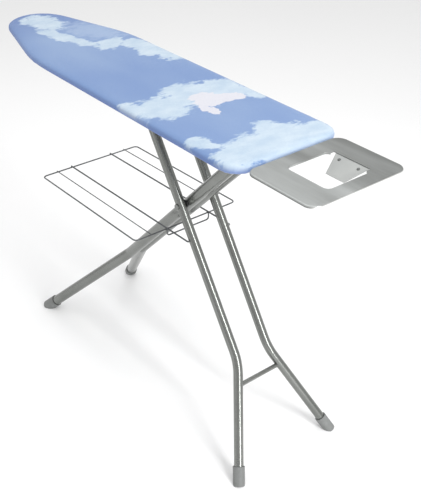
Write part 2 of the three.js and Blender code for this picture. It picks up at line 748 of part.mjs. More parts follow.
// ---- wire rack: local X runs from the pins towards the nose, local Z points down
function rack() {
  const frame = legFrame(rackPin, Math.PI - RACK_SLOPE);
  const frameZ = HEAVY_WIRE + FRAME_WIRE + GAP;
  const x0 = RACK_TAIL;
  const x1 = RACK_TAIL + RACK_LENGTH;
  const w = RACK_HALF_WIDTH;
  const bend = 12;
  const half = (side) => {
    const corners = [
      v3(x0, -side, frameZ),
      v3(x0, side * w, frameZ),
      v3(x1, side * w, frameZ),
      v3(x1, -side, frameZ),
    ];
    return sweep(rounded(corners, bend, 4), FRAME_WIRE, 0, 10);
  };
  frame.add(mesh("rack_frame", geometryOf(join(half(1), half(-1))), "wire"));

  const armY = legAOuter + HEAVY_WIRE + 3;
  const tipY = legAHalfGap - 2;
  for (const side of [-1, 1]) {
    const tag = side < 0 ? "near" : "far";
    const arm = [v3(x1, side * armY, 0), v3(0, side * armY, 0), v3(0, side * tipY, 0)];
    frame.add(mesh("rack_arm_" + tag, sweep(rounded(arm, 2.6, 4), HEAVY_WIRE, 0, 10), "wire"));
    const barZ = frameZ - FRAME_WIRE - THIN_WIRE - GAP;
    const bar = [v3(x0, side * (armY + RACK_PITCH), barZ), v3(x1, side * (armY + RACK_PITCH), barZ)];
    frame.add(mesh("rack_bar_" + tag, sweep(bar, THIN_WIRE, 0, 8), "wire"));
  }
  const stopX = x0 - 2 * FRAME_WIRE - 1;
  const stopTop = HEAVY_WIRE + GAP;
  const stop = [
    v3(stopX, -armY, stopTop),
    v3(stopX, -armY, STOP_DEPTH),
    v3(stopX, armY, STOP_DEPTH),
    v3(stopX, armY, stopTop),
  ];
  frame.add(mesh("rack_stop_wire", sweep(rounded(stop, 8, 4), FRAME_WIRE, 0, 10), "wire"));
  return frame;
}

root.add(...boardTop(), ...ironRest(), ...underframe(), releaseLever(), legB(), legA(), rack());

export default root;
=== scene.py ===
"""The folding ironing board: cloth cover and felt pad, metal iron rest, two crossing leg frames,
wire rack and release lever. Metres, +X towards the iron rest, +Z up."""

import json
import math

import bmesh
import bpy
from mathutils import Matrix, Vector
from mathutils.kdtree import KDTree


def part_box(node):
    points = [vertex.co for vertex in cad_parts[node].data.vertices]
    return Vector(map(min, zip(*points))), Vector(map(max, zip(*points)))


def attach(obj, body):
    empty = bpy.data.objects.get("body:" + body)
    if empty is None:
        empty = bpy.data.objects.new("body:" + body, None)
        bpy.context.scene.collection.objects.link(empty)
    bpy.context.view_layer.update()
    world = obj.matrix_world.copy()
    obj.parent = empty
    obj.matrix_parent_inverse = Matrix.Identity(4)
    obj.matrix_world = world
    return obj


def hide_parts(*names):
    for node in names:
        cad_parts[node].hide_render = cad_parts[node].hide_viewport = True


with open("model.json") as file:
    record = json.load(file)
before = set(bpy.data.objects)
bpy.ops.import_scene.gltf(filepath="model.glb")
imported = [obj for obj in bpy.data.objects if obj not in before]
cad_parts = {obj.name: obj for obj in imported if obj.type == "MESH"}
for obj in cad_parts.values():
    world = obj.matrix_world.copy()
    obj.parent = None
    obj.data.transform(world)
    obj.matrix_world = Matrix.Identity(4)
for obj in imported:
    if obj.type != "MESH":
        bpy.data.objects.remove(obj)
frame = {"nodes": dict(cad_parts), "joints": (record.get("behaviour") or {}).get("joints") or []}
NODES = frame["nodes"]
JOINTS = {joint["name"]: Vector(joint["pos_m"]) for joint in frame["joints"]}
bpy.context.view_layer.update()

# Camera
CAMERA_TURN = math.radians(51.58)
CAMERA_RISE = math.radians(32.9)
CAMERA_REACH = 2.24
CAMERA_AIM = Vector((0.2193, 0.0, 0.4962))
CAMERA_LENS = 60.77

# Cover and pad
COVER_THICK = 0.0009
COVER_LOW = 0.0012  # cut pattern below the finished top, which swells up to it
COVER_SHORT = 0.0006
TOP_ROUND = 0.0075
LOWER_ROUND = 0.0035
HEM_REACH = 0.028
HEM_ROLL = 0.0022
HEM_LIFT = 0.0012
CLOTH_VOXEL = 0.005
CLOTH_FRAMES = 20
CLOTH_SWELL = 0.0024
GATHER_PITCH = 0.017
GATHER_DEPTH = 0.0009
GATHER_START = 0.006  # in from the edge, where the hem begins to ripple
WALK_STEP = 0.002
PAD_LENGTH_SHARE = 0.991
PAD_WIDTH_SHARE = 0.965
PAD_DEPTH_SHARE = 0.72
PAD_ROUND = 0.0035

# Iron rest
PLATE_CORNER = 0.027
PLATE_ROLL = 0.0036
LIP_ROUND = 0.0011
LOWER_EDGE_ROUND = 0.0005
TOP_BAND = 0.0005
SHEET_BAND = 0.0045
RIM_BAND = 0.002
CORNER_BAND = 0.0015

# Legs
LEG_A_RADIUS = 0.0127
LEG_B_RADIUS = 0.0159
LEG_A_ANGLE = math.radians(57.1)
LEG_A_FOOT_ANGLE = math.radians(60.4)
LEG_B_ANGLE = math.radians(45.5)
LEG_A_BEND = 0.44
LEG_B_BEND = 0.7686
LEG_B_HALF_GAP = 0.0215
LEG_A_HALF_GAP = 0.052
LEG_A_HEAD = 0.01
LEG_B_HEAD = 0.016
FOOT_HALF_TRACK = 0.165
LEG_A_BEND_RADIUS = 0.17
LEG_B_BEND_RADIUS = 0.065
SOLE = 0.0058
TUBE_SHORT = 0.0008

# Rack
RACK_SLOPE = math.radians(1.8)
RACK_TAIL = 0.097
RACK_LENGTH = 0.493
RACK_HALF_WIDTH = 0.168
RACK_PITCH = 0.05
HEAVY_WIRE = 0.00225
FRAME_WIRE = 0.002
THIN_WIRE = 0.0015
STOP_DEPTH = 0.022
WIRE_GAP = 0.0003
ARM_CLEAR = 0.003

# Cloth colours, 0 to 255
SKY_SHADE = (108, 137, 184)
SKY_LIGHT = (130, 155, 192)
SKY_DEEP = (80, 110, 166)
FAINT_CLOUD = (172, 190, 212)
CLOUD_FRINGE = (176, 196, 214)
CLOUD_SHADE = (176, 195, 211)
CLOUD_LIGHT = (196, 210, 220)
CLOUD_BRIGHT = (210, 209, 215)
# painted shade for the cover's rim, whose sides face away from the light
RIM_PAINTED_SHADE = (86, 110, 170)
YARN_BLUE = (84, 108, 160)
CLOUD_TURN = math.radians(-52)


# ---------------------------------------------------------------- camera, light and floor
def set_camera():
    away = Vector(
        (
            math.sin(CAMERA_TURN) * math.cos(CAMERA_RISE),
            -math.cos(CAMERA_TURN) * math.cos(CAMERA_RISE),
            math.sin(CAMERA_RISE),
        )
    )
    data = bpy.data.cameras.new("camera")
    data.lens = CAMERA_LENS
    data.sensor_width = 36
    camera = bpy.data.objects.new("camera", data)
    camera.location = CAMERA_AIM + away * CAMERA_REACH
    camera.rotation_euler = away.to_track_quat("Z", "Y").to_euler()
    bpy.context.scene.collection.objects.link(camera)
    bpy.context.scene.camera = camera


def softbox(name, place, aim, width, height, power):
    data = bpy.data.lights.new(name, "AREA")
    data.shape = "RECTANGLE"
    data.size = width
    data.size_y = height
    data.energy = power
    lamp = bpy.data.objects.new(name, data)
    lamp.location = place
    lamp.rotation_euler = (Vector(place) - Vector(aim)).to_track_quat("Z", "Y").to_euler()
    bpy.context.scene.collection.objects.link(lamp)


def set_studio():
    world = bpy.data.worlds.new("studio")
    world.use_nodes = True
    backdrop = world.node_tree.nodes["Background"]
    backdrop.inputs["Color"].default_value = (1, 1, 1, 1)
    backdrop.inputs["Strength"].default_value = 0.76
    bpy.context.scene.world = world
    bpy.context.scene.view_settings.view_transform = "Standard"
    middle = (0.1, 0, 0.5)
    softbox("overhead", (-0.4, 0.3, 3.2), middle, 2.6, 2.6, 30)
    softbox("leg_highlight", (2.5, 0.0, 1.54), (0.3, 0, 0.4), 0.26, 2.6, 50)
    softbox("left_fill", (-0.6, -2.9, 1.4), middle, 2.0, 1.6, 9)


def lay_floor():
    bm = bmesh.new()
    bmesh.ops.create_grid(bm, x_segments=1, y_segments=1, size=7)
    floor = piece_from("floor", bm)
    floor.data.materials.append(floor_finish())


# ---------------------------------------------------------------- material helpers
def blank(name):
    material = bpy.data.materials.new(name)
    material.use_nodes = True
    tree = material.node_tree
    shader = tree.nodes["Principled BSDF"]
    place = tree.nodes.new("ShaderNodeTexCoord").outputs["Object"]
    return material, tree, shader, place


def tinted(red, green, blue):
    """A colour given in 0 to 255 display values, as linear light."""
    return tuple(
        (v / 12.92 if v <= 0.04045 else ((v + 0.055) / 1.055) ** 2.4)
        for v in (red / 255, green / 255, blue / 255)
    ) + (1.0,)


def stretched(tree, place, scale, turn=0.0, move=(0, 0, 0)):
    node = tree.nodes.new("ShaderNodeMapping")
    node.inputs["Scale"].default_value = scale
    node.inputs["Rotation"].default_value = (0, 0, turn)
    node.inputs["Location"].default_value = move
    tree.links.new(place, node.inputs["Vector"])
    return node.outputs["Vector"]


def coordinates(tree, place):
    node = tree.nodes.new("ShaderNodeSeparateXYZ")
    tree.links.new(place, node.inputs["Vector"])
    return node.outputs


def noise(tree, place, scale, detail=3.0, rough=0.5):
    node = tree.nodes.new("ShaderNodeTexNoise")
    node.inputs["Scale"].default_value = scale
    node.inputs["Detail"].default_value = detail
    node.inputs["Roughness"].default_value = rough
    tree.links.new(place, node.inputs["Vector"])
    return node.outputs["Fac"]


def sums(tree, kind, first, second, third=None, clamp=False):
    node = tree.nodes.new("ShaderNodeMath")
    node.operation = kind
    node.use_clamp = clamp
    for slot, value in zip(node.inputs, (first, second, third)):
        if value is None:
            continue
        if isinstance(value, (int, float)):
            slot.default_value = value
        else:
            tree.links.new(value, slot)
    return node.outputs[0]


def ranged(tree, value, low, high, to_low=0.0, to_high=1.0, smooth=False):
    node = tree.nodes.new("ShaderNodeMapRange")
    node.interpolation_type = "SMOOTHSTEP" if smooth else "LINEAR"
    tree.links.new(value, node.inputs["Value"])
    for name, number in (("From Min", low), ("From Max", high), ("To Min", to_low), ("To Max", to_high)):
        node.inputs[name].default_value = number
    return node.outputs["Result"]


def blended(tree, factor, first, second, kind="MIX"):
    node = tree.nodes.new("ShaderNodeMix")
    node.data_type = "RGBA"
    node.blend_type = kind
    tree.links.new(factor, node.inputs["Factor"])
    for slot, value in ((node.inputs[6], first), (node.inputs[7], second)):
        if isinstance(value, tuple):
            slot.default_value = value
        else:
            tree.links.new(value, slot)
    return node.outputs[2]


def bumped(tree, shader, height, distance, strength=1.0):
    node = tree.nodes.new("ShaderNodeBump")
    node.inputs["Distance"].default_value = distance
    node.inputs["Strength"].default_value = strength
    tree.links.new(height, node.inputs["Height"])
    tree.links.new(node.outputs["Normal"], shader.inputs["Normal"])


# ---------------------------------------------------------------- finishes
def floor_finish():
    material, tree, shader, place = blank("studio_floor")
    shade = noise(tree, place, 0.8, 2)
    tree.links.new(
        blended(tree, shade, tinted(250, 250, 250), tinted(253, 253, 253)), shader.inputs["Base Color"]
    )
    shader.inputs["Roughness"].default_value = 0.9
    return material


# Each cloud is a cluster of ovals: middle x, y, half length, half width, turn in degrees.
HAZE = [
    (-0.600, 0.000, 0.085, 0.052, 8),
    (-0.470, -0.022, 0.085, 0.026, 5),
    (-0.375, 0.000, 0.060, 0.028, 25),
    (-0.318, 0.060, 0.045, 0.050, 30),
    (-0.270, 0.118, 0.050, 0.036, 20),
    (-0.200, 0.126, 0.062, 0.046, 0),
    (-0.140, 0.140, 0.050, 0.044, 10),
    (0.145, -0.085, 0.070, 0.082, 10),
    (0.128, 0.020, 0.082, 0.080, 0),
    (0.150, 0.100, 0.074, 0.066, 30),
    (0.200, 0.145, 0.046, 0.036, 0),
    (0.110, -0.155, 0.046, 0.034, 10),
    (0.455, 0.000, 0.080, 0.140, 0),
    (0.400, 0.040, 0.046, 0.040, 20),
    (0.452, -0.110, 0.062, 0.062, 0),
    (0.472, 0.110, 0.058, 0.066, 0),
    (0.358, -0.138, 0.040, 0.026, 20),
]
FAINT_HAZE = [
    (-0.440, 0.085, 0.130, 0.070, 20),
    (0.140, -0.170, 0.062, 0.030, 0),
    (-0.560, 0.030, 0.050, 0.040, 0),
]
BRIGHT_HAZE = [
    (0.168, 0.020, 0.046, 0.040, 0),
    (0.196, 0.066, 0.026, 0.060, -22),
    (0.226, -0.008, 0.034, 0.018, 0),
]


def cluster(tree, place, ovals):
    """How far inside the nearest oval a point lies: 1 at its middle, 0 on its edge."""
    inside = None
    for x, y, long, wide, turn in ovals:
        angle = math.radians(turn)
        middle = Matrix.Rotation(-angle, 3, "Z") @ Vector((x, y, 0))
        # A mapping scales before it turns, so the turn is undone in a mapping of its own.
        turned = stretched(tree, place, (1, 1, 1), -angle, (-middle.x, -middle.y, 0))
        shrunk = stretched(tree, turned, (1 / long, 1 / wide, 0))
        length = tree.nodes.new("ShaderNodeVectorMath")
        length.operation = "LENGTH"
        tree.links.new(shrunk, length.inputs[0])
        depth = sums(tree, "SUBTRACT", 1.0, length.outputs["Value"])
        inside = depth if inside is None else sums(tree, "MAXIMUM", inside, depth)
    return inside


def weave_height(tree, across, pitch):
    """Plain weave: two sets of threads across each other."""
    count = 2 * math.pi / pitch
    warp = sums(tree, "SINE", sums(tree, "MULTIPLY", across["X"], count), None)
    weft = sums(tree, "SINE", sums(tree, "MULTIPLY", across["Y"], count), None)
    return sums(tree, "MULTIPLY", warp, weft)


def wandering_place(tree, place):
    """Object coordinates pushed about by noise, so that an oval's edge comes out ragged."""
    drift = tree.nodes.new("ShaderNodeTexNoise")
    drift.inputs["Scale"].default_value = 17
    drift.inputs["Detail"].default_value = 4
    tree.links.new(place, drift.inputs["Vector"])
    pushed = tree.nodes.new("ShaderNodeVectorMath")
    pushed.operation = "MULTIPLY_ADD"
    tree.links.new(drift.outputs["Color"], pushed.inputs[0])
    pushed.inputs[1].default_value = (0.05, 0.07, 0)
    tree.links.new(stretched(tree, place, (1, 1, 1), move=(-0.025, -0.035, 0)), pushed.inputs[2])
    return pushed.outputs["Vector"]


def sky_print(tree, place, across):
    """The printed pattern: a blue sky, deeper at the nose, with torn clouds."""
    wandering = wandering_place(tree, place)
    streaks = noise(tree, stretched(tree, place, (30, 16, 16), turn=CLOUD_TURN), 1.6, 7, 0.7)
    ragged = ranged(tree, streaks, 0.25, 0.75, -0.42, 0.42)
    haze = sums(tree, "ADD", cluster(tree, wandering, HAZE), ragged)
    faint = sums(tree, "ADD", cluster(tree, wandering, FAINT_HAZE), ragged)
    torn = sums(tree, "MULTIPLY", ragged, 0.7)
    bright = sums(tree, "ADD", cluster(tree, wandering, BRIGHT_HAZE), torn)

    wash = noise(tree, stretched(tree, place, (1.4, 3, 1)), 1.6, 2)
    sky = blended(tree, ranged(tree, wash, 0.3, 0.7), tinted(*SKY_SHADE), tinted(*SKY_LIGHT))
    sky = blended(tree, ranged(tree, across["X"], -0.72, -0.45, 0.9, 0.0), sky, tinted(*SKY_DEEP))
    puffs = noise(tree, stretched(tree, place, (26, 15, 15), turn=CLOUD_TURN), 1.1, 4, 0.6)
    pale = blended(tree, ranged(tree, puffs, 0.35, 0.65), tinted(*CLOUD_SHADE), tinted(*CLOUD_LIGHT))
    layers = (
        (faint, 0.0, 0.5, 0.42, tinted(*FAINT_CLOUD)),
        (haze, -0.04, 0.06, 0.55, tinted(*CLOUD_FRINGE)),
        (haze, 0.06, 0.2, 0.92, pale),
        (bright, 0.0, 0.1, 0.95, tinted(*CLOUD_BRIGHT)),
    )
    colour = sky
    for depth, edge, full, most, paint in layers:
        colour = blended(tree, ranged(tree, depth, edge, full, 0.0, most, smooth=True), colour, paint)
    return colour


def cloth_finish():
    """Printed cotton: plain weave with a soft nap, with painted shade in blue down its rim."""
    material, tree, shader, place = blank("printed_cotton")
    across = coordinates(tree, place)
    # painted shade: the rim down the cover's sides is blended to a darker blue below the top
    rim = ranged(tree, across["Z"], 0.885, 0.8985, 0.8, 0.0)
    colour = blended(tree, rim, sky_print(tree, place, across), tinted(*RIM_PAINTED_SHADE))
    yarn = noise(tree, stretched(tree, place, (260, 900, 500)), 1.0, 2)
    thread = blended(tree, ranged(tree, yarn, 0.3, 0.7, 0.0, 0.12), colour, tinted(*YARN_BLUE))
    tree.links.new(thread, shader.inputs["Base Color"])
    tree.links.new(ranged(tree, yarn, 0.2, 0.8, 0.82, 0.94), shader.inputs["Roughness"])
    shader.inputs["Sheen Weight"].default_value = 0.25
    shader.inputs["Sheen Roughness"].default_value = 0.5
    shader.inputs["Specular IOR Level"].default_value = 0.25
    bumped(tree, shader, weave_height(tree, across, 0.0011), 0.00012, 0.6)
    return material


def felt_finish():
    material, tree, shader, place = blank("needled_felt")
    fibres = noise(tree, stretched(tree, place, (300, 900, 600)), 1, 4)
    colour = blended(tree, fibres, tinted(214, 210, 200), tinted(236, 233, 224))
    tree.links.new(colour, shader.inputs["Base Color"])
    tree.links.new(ranged(tree, fibres, 0.2, 0.8, 0.9, 1.0), shader.inputs["Roughness"])
    bumped(tree, shader, fibres, 0.0004)
    return material


def metal_finish(name, dark, light, metal, rough, grain=(60, 60, 60), wear=0.0):
    """Lacquered or plated steel: faint clouding, fine orange peel and paler rubbed spots."""
    material, tree, shader, place = blank(name)
    cloud = noise(tree, place, 9, 3)
    fine = noise(tree, stretched(tree, place, grain), 14, 2)
    colour = blended(tree, ranged(tree, cloud, 0.3, 0.7), tinted(*dark), tinted(*light))
    rubbed = ranged(tree, noise(tree, place, 60, 5, 0.7), 0.68, 0.75, 0.0, wear)
    colour = blended(tree, rubbed, colour, tinted(*[min(255, v + 40) for v in light]))
    tree.links.new(colour, shader.inputs["Base Color"])
    shader.inputs["Metallic"].default_value = metal
    tree.links.new(ranged(tree, fine, 0.25, 0.75, rough - 0.05, rough + 0.06), shader.inputs["Roughness"])
    bumped(tree, shader, fine, 0.00004, 0.5)
    return material


def brushed_finish(name):
    """Brushed steel sheet: long fine scratches and broad soft bands, with a painted reflection that
    darkens it towards the far side, a painted highlight on the rim at the free end and painted shade on
    the rim along the near edge.
    """
    material, tree, shader, place = blank(name)
    scratches = noise(tree, stretched(tree, place, (14, 900, 14)), 1.0, 4, 0.7)
    bands = noise(tree, stretched(tree, place, (3, 16, 1), turn=0.5), 1.0, 3)
    across = coordinates(tree, place)
    # painted reflection: the sheet is lighter towards the near side and darker towards the far side
    painted_reflection_falloff = ranged(tree, across["Y"], -0.14, 0.14, 0.2, -0.2)
    tone = sums(tree, "ADD", sums(tree, "ADD", bands, painted_reflection_falloff), sums(tree, "MULTIPLY", scratches, 0.25))
    colour = blended(tree, ranged(tree, tone, 0.35, 0.95), tinted(128, 130, 128), tinted(182, 185, 184))
    edge = ranged(tree, across["Z"], 0.8915, 0.8948, 1.0, 0.0)
    # painted highlight: the rolled rim band at the free end is blended to near white
    bright = sums(tree, "MULTIPLY", edge, ranged(tree, across["X"], 0.690, 0.706, 0.0, 0.95))
    colour = blended(tree, bright, colour, tinted(246, 246, 244))
    # painted shade: the rolled rim band along the near side is blended to dark grey
    shaded = sums(tree, "MULTIPLY", edge, ranged(tree, across["Y"], -0.137, -0.128, 0.7, 0.0))
    colour = blended(tree, shaded, colour, tinted(74, 75, 73))
    tree.links.new(colour, shader.inputs["Base Color"])
    shader.inputs["Metallic"].default_value = 0.85
    tree.links.new(ranged(tree, scratches, 0.25, 0.75, 0.3, 0.42), shader.inputs["Roughness"])
    bumped(tree, shader, scratches, 0.00005, 0.5)
    return material


def plastic_finish(name, dark, light, rough, pebble=0.00006):
    """Moulded plastic with a fine spark-eroded grain and slight scuffing."""
    material, tree, shader, place = blank(name)
    grain = noise(tree, place, 1400, 2)
    scuff = noise(tree, place, 55, 5, 0.7)
    colour = blended(tree, ranged(tree, scuff, 0.35, 0.7), tinted(*dark), tinted(*light))
    tree.links.new(colour, shader.inputs["Base Color"])
    tree.links.new(ranged(tree, scuff, 0.3, 0.7, rough - 0.06, rough + 0.08), shader.inputs["Roughness"])
    bumped(tree, shader, grain, pebble, 0.6)
    return material


# ---------------------------------------------------------------- mesh helpers
def piece_from(name, bm, smooth_below=math.radians(38)):
    mesh = bpy.data.meshes.new(name)
    for face in bm.faces:
        face.smooth = True
    for edge in bm.edges:
        edge.smooth = len(edge.link_faces) != 2 or edge.calc_face_angle(0) < smooth_below
    bm.to_mesh(mesh)
    bm.free()
    piece = bpy.data.objects.new(name, mesh)
    bpy.context.scene.collection.objects.link(piece)
    return piece


def finished(piece, finish, body, slot, *nodes, even=False):
    """Gives a piece its finish and its body, and hides the nodes it stands for."""
    piece.data.materials.clear()
    piece.data.materials.append(finish)
    if even:
        weighted = piece.modifiers.new("even_shading", "WEIGHTED_NORMAL")
        weighted.keep_sharp = True
    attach(piece, body)
    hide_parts(*nodes)
    return piece


def node_shape(node):
    """A node's shape as one joined, cleaned-up bmesh."""
    bm = bmesh.new()
    bm.from_mesh(NODES[node].data)
    bmesh.ops.remove_doubles(bm, verts=bm.verts, dist=2e-5)
    bmesh.ops.dissolve_limit(bm, angle_limit=math.radians(1), verts=bm.verts, edges=bm.edges)
    return bm


def eased(bm, width, pick=lambda middle: True, segments=2, above=math.radians(40)):
    """Rounds the sharp edges whose middle is picked."""
    edges = [
        edge
        for edge in bm.edges
        if len(edge.link_faces) == 2
        and edge.calc_face_angle(0) > above
        and pick((edge.verts[0].co + edge.verts[1].co) / 2)
    ]
    bmesh.ops.bevel(
        bm,
        geom=edges,
        offset=width,
        offset_type="OFFSET",
        affect="EDGES",
        segments=segments,
        profile=0.5,
        material=-1,
        clamp_overlap=True,
    )


def fitting(node, finish, body, slot, width=0.0003, segments=2):
    """A stamped, turned or moulded part with its edges eased."""
    bm = node_shape(node)
    if width:
        eased(bm, width, segments=segments)
    return finished(piece_from(node + "_part", bm), finish, body, slot, node, even=True)


def bent_bar(corners, radius, bend, sides=24, steps=10, closed=False):
    """A round bar or tube through corner points, each corner turned at the bend radius."""
    bm = bmesh.new()
    heading = (corners[1] - corners[0]).normalized()
    stand = Matrix.Translation(corners[0]) @ heading.to_track_quat("Z", "Y").to_matrix().to_4x4()
    bmesh.ops.create_circle(bm, segments=sides, radius=radius, matrix=stand)
    ring = bm.edges[:]
    at = corners[0]

    def run_to(point):
        made = bmesh.ops.extrude_edge_only(bm, edges=ring)["geom"]
        moved = [item for item in made if isinstance(item, bmesh.types.BMVert)]
        bmesh.ops.translate(bm, verts=moved, vec=point - at)
        return [
            item
            for item in made
            if isinstance(item, bmesh.types.BMEdge) and all(v in moved for v in item.verts)
        ]

    for corner, after in zip(corners[1:-1], corners[2:]):
        leaving = (after - corner).normalized()
        turn = heading.angle(leaving)
        reach = bend * math.tan(turn / 2)
        ring = run_to(corner - heading * reach)
        at = corner - heading * reach
        axis = heading.cross(leaving).normalized()
        centre = at + axis.cross(heading) * bend
        spun = bmesh.ops.spin(
            bm, geom=ring, cent=centre, axis=axis, angle=turn, steps=steps, use_duplicate=False
        )
        ring = [item for item in spun["geom_last"] if isinstance(item, bmesh.types.BMEdge)]
        heading = leaving
        at = corner + heading * reach
    run_to(corners[-1])
    if closed:
        bmesh.ops.remove_doubles(bm, verts=bm.verts, dist=1e-5)
    else:
        open_edges = [edge for edge in bm.edges if len(edge.link_faces) < 2]
        bmesh.ops.holes_fill(bm, edges=open_edges, sides=0)
    bmesh.ops.recalc_face_normals(bm, faces=bm.faces)
    return bm


# ---------------------------------------------------------------- cover and pad
def outline_of(node, level):
    """The flat top of a node as one face, at its true outline."""
    bm = node_shape(node)
    low = [vert for vert in bm.verts if vert.co.z < level - 1e-4]
    bmesh.ops.delete(bm, geom=low, context="VERTS")
    bmesh.ops.dissolve_faces(bm, faces=bm.faces)
    return bm


def slab_from(bm, depth):
    made = bmesh.ops.extrude_face_region(bm, geom=bm.faces[:])["geom"]
    moved = [item for item in made if isinstance(item, bmesh.types.BMVert)]
    bmesh.ops.translate(bm, verts=moved, vec=(0, 0, -depth))
    bmesh.ops.recalc_face_normals(bm, faces=bm.faces)
    return bm


def remeshed(piece, voxel):
    tool = piece.modifiers.new("even_mesh", "REMESH")
    tool.mode = "VOXEL"
    tool.voxel_size = voxel
    bake(piece)


def bake(piece):
    graph = bpy.context.evaluated_depsgraph_get()
    baked = bpy.data.meshes.new_from_object(piece.evaluated_get(graph))
    piece.modifiers.clear()
    piece.data = baked


def puffed(piece, most):
    """Blows the piece up as cloth, with no point moving farther than most."""
    rest = [vert.co.copy() for vert in piece.data.vertices]
    cloth = piece.modifiers.new("stuffing", "CLOTH")
    cloth.settings.use_pressure = True
    cloth.settings.uniform_pressure_force = 4
    cloth.settings.effector_weights.gravity = 0
    cloth.settings.quality = 4
    cloth.settings.mass = 0.3
    cloth.settings.tension_stiffness = 12
    cloth.settings.compression_stiffness = 12
    cloth.settings.bending_stiffness = 0.4
    cloth.point_cache.frame_start = 1
    cloth.point_cache.frame_end = CLOTH_FRAMES
    for number in range(1, CLOTH_FRAMES + 1):
        bpy.context.scene.frame_set(number)
    bake(piece)
    bpy.context.scene.frame_set(1)
    for vert, start in zip(piece.data.vertices, rest):
        shift = vert.co - start
        if shift.length > most:
            vert.co = start + shift * (most / shift.length)


def rim_walk(bm):
    """Points close together round the outline, each with its length along it and its way in."""
    bm.faces.ensure_lookup_table()
    face = bm.faces[0]
    corners = [loop.vert.co.copy() for loop in face.loops]
    middle = sum(corners, Vector()) / len(corners)
    walk = []
    run = 0.0
    for first, second in zip(corners, corners[1:] + corners[:1]):
        side = second - first
        inward = Vector((-side.y, side.x, 0)).normalized()
        if inward.dot(middle - first) < 0:
            inward = -inward
        count = max(1, round(side.length / WALK_STEP))
        for k in range(count):
            walk.append((first + side * (k / count), run + side.length * k / count, inward))
        run += side.length
    return walk, run


def open_underside(cover, walk, perimeter, low):
    """Opens the underside inside the hem, and gathers the free edge at an even width."""
    tree = KDTree(len(walk))
    for index, (point, run, inward) in enumerate(walk):
        tree.insert((point.x, point.y, 0), index)
    tree.balance()
    bm = bmesh.new()
    bm.from_mesh(cover.data)
    under = low.z + LOWER_ROUND
    inner = []
    for vert in bm.verts:
        if vert.co.z > under:
            continue
        point, index, reach = tree.find((vert.co.x, vert.co.y, 0))
        if reach > HEM_REACH:
            inner.append(vert)
    bmesh.ops.delete(bm, geom=inner, context="VERTS")
    pitches = round(perimeter / GATHER_PITCH)
    for vert in bm.verts:
        if vert.co.z > under:
            continue
        point, index, reach = tree.find((vert.co.x, vert.co.y, 0))
        run = walk[index][1]
        if vert.is_boundary:
            way = (Vector((vert.co.x, vert.co.y, 0)) - point).normalized()
            vert.co.x, vert.co.y = (point + way * HEM_REACH).xy
            reach = HEM_REACH
        pull = min(1.0, max(0.0, (reach - GATHER_START) / (HEM_REACH - GATHER_START)))
        phase = 2 * math.pi * run / perimeter
        gather = math.sin(phase * pitches) + 0.45 * math.sin(phase * (pitches * 2 + 5) + 1.3)
        vert.co.z += GATHER_DEPTH * pull * gather
    bmesh.ops.recalc_face_normals(bm, faces=bm.faces)
    bmesh.ops.smooth_vert(
        bm, verts=bm.verts, factor=0.35, use_axis_x=True, use_axis_y=True, use_axis_z=True
    )
    bm.to_mesh(cover.data)
    bm.free()
    for face in cover.data.polygons:
        face.use_smooth = True


def dress_board(cloth):
    """The fitted cover: stretched over the pad, with its edge drawn in under the deck."""
    low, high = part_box("cover")
    outline = outline_of("cover", high.z)
    walk, perimeter = rim_walk(outline)
    bm = slab_from(outline, high.z - low.z - COVER_SHORT)
    bmesh.ops.translate(bm, verts=bm.verts, vec=(0, 0, -COVER_LOW))
    eased(bm, TOP_ROUND, lambda middle: middle.z > high.z - 0.004, segments=5)
    eased(bm, LOWER_ROUND, lambda middle: middle.z < low.z + 0.004, segments=3)
    cover = piece_from("cloth_cover", bm)
    remeshed(cover, CLOTH_VOXEL)
    puffed(cover, CLOTH_SWELL)
    open_underside(cover, walk, perimeter, low)
    wall = cover.modifiers.new("cloth_thickness", "SOLIDIFY")
    wall.thickness = COVER_THICK
    wall.offset = -1
    fine = cover.modifiers.new("smooth_cloth", "SUBSURF")
    fine.levels = 1
    fine.render_levels = 1
    finished(cover, cloth, "board", "cover_cloth", "cover")
    cover_area(cover) / 2
    hem_roll(walk, low.z, cloth)


def lay_pad(felt):
    """The felt under the cover, a little smaller all round so that the cloth clears it."""
    low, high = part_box("pad")
    bm = slab_from(outline_of("pad", high.z), high.z - low.z)
    underside = Matrix.Translation((0, 0, -low.z))
    bmesh.ops.scale(bm, vec=(PAD_LENGTH_SHARE, PAD_WIDTH_SHARE, 1), verts=bm.verts)
    bmesh.ops.scale(bm, vec=(1, 1, PAD_DEPTH_SHARE), space=underside, verts=bm.verts)
    eased(bm, PAD_ROUND, lambda middle: middle.z > low.z + 0.002, segments=4)
    pad = finished(piece_from("pad_layer", bm), felt, "board", "felt_pad", "pad", even=True)


def cover_area(cover):
    graph = bpy.context.evaluated_depsgraph_get()
    mesh = cover.evaluated_get(graph).to_mesh()
    return sum(face.area for face in mesh.polygons)


def hem_roll(walk, level, cloth):
    """The rolled hem that the drawcord runs in, round the opening under the deck."""
    curve = bpy.data.curves.new("cover_hem", "CURVE")
    curve.dimensions = "3D"
    curve.bevel_depth = HEM_ROLL
    curve.bevel_resolution = 3
    points = [point + inward * HEM_REACH for point, run, inward in walk[::3]]
    path = curve.splines.new("POLY")
    path.points.add(len(points) - 1)
    for spot, point in zip(path.points, points):
        spot.co = (point.x, point.y, level + HEM_LIFT, 1)
    path.use_cyclic_u = True
    rolled = bpy.data.objects.new("cover_hem_curve", curve)
    bpy.context.scene.collection.objects.link(rolled)
    graph = bpy.context.evaluated_depsgraph_get()
    bm = bmesh.new()
    bm.from_mesh(bpy.data.meshes.new_from_object(rolled.evaluated_get(graph)))
    bpy.data.objects.remove(rolled)
    hem = piece_from("cover_hem", bm)
    hem.data.materials.clear()
    hem.data.materials.append(cloth)
    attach(hem, "board")
    return hem


